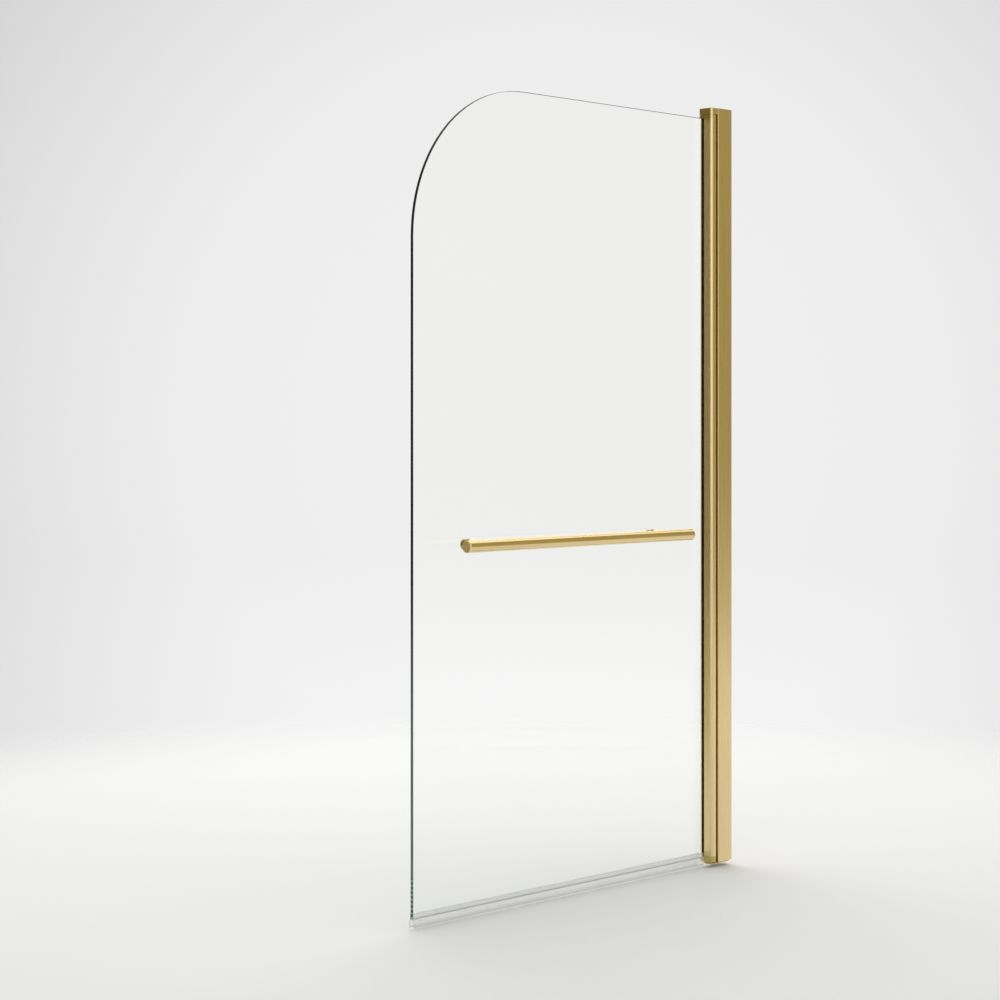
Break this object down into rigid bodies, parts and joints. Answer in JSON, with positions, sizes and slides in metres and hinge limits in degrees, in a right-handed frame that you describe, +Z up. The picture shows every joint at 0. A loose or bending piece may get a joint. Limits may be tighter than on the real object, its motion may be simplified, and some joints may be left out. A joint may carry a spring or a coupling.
{
  "type": "hinged bath screen",
  "caption": "Wall-hung hinged bath screen: clear glass with a quarter-round top corner on a brushed-brass pivot post, with a towel rail and a bottom seal.",
  "frame": {"origin": "on the wall plane at the middle of the channel's thickness, level with the bath rim that the bottom seal rests on", "axes": "+Z up; +X into the wall, so the screen reaches towards -X; -Y towards the side with the towel rail; rest pose is closed, in line with the channel"},
  "size_m": [0.8, 0.0704, 1.4],
  "materials": {
    "anodised_brass": "brushed",
    "brass_trim": "satin",
    "rail_brass": "brushed",
    "brass_plastic": "satin",
    "steel": "satin",
    "nylon": "matte",
    "clear_glass": "polished",
    "black_rubber": "matte",
    "clear_vinyl": "clear"
  },
  "bodies": {
    "wall": {"wall_channel": "anodised_brass", "clamp_screws": "steel", "clamp_nuts": "steel", "clamp_covers": "brass_plastic"},
    "hinge_post": {"adjusting_post": "anodised_brass", "top_head": "brass_trim", "bottom_plate": "brass_trim", "top_pin": "steel", "bottom_pin": "steel", "gap_seal": "black_rubber", "head_screws": "steel", "plate_screws": "steel"},
    "screen": {"pivot_profile": "anodised_brass", "top_collar": "brass_trim", "bottom_end_cap": "brass_trim", "top_bush": "nylon", "bottom_bush": "nylon", "thrust_washer": "nylon", "collar_screws": "steel", "end_cap_screws": "steel", "glass_panel": "clear_glass", "front_gasket": "black_rubber", "rear_glazing_tape": "black_rubber", "glass_packers": "nylon", "bottom_seal": "clear_vinyl", "towel_bar": "rail_brass", "bar_end_caps": "rail_brass", "rail_post_free": "rail_brass", "rail_post_wall": "rail_brass", "rear_cap_free": "rail_brass", "rear_cap_wall": "rail_brass", "rail_studs": "steel", "glass_sleeves": "clear_vinyl", "front_washers": "clear_vinyl", "rear_washers": "clear_vinyl"}
  },
  "joints": [
    {"name": "width_adjustment", "type": "slide", "parent": "wall", "child": "hinge_post", "axis": [-1, 0, 0], "range_m": [0, 0.015]},
    {"name": "screen_swing", "type": "hinge", "parent": "hinge_post", "child": "screen", "pos_m": [-0.052, -0.001, 0.7], "axis": [0, 0, 1], "range_deg": [-70, 90]}
  ]
}
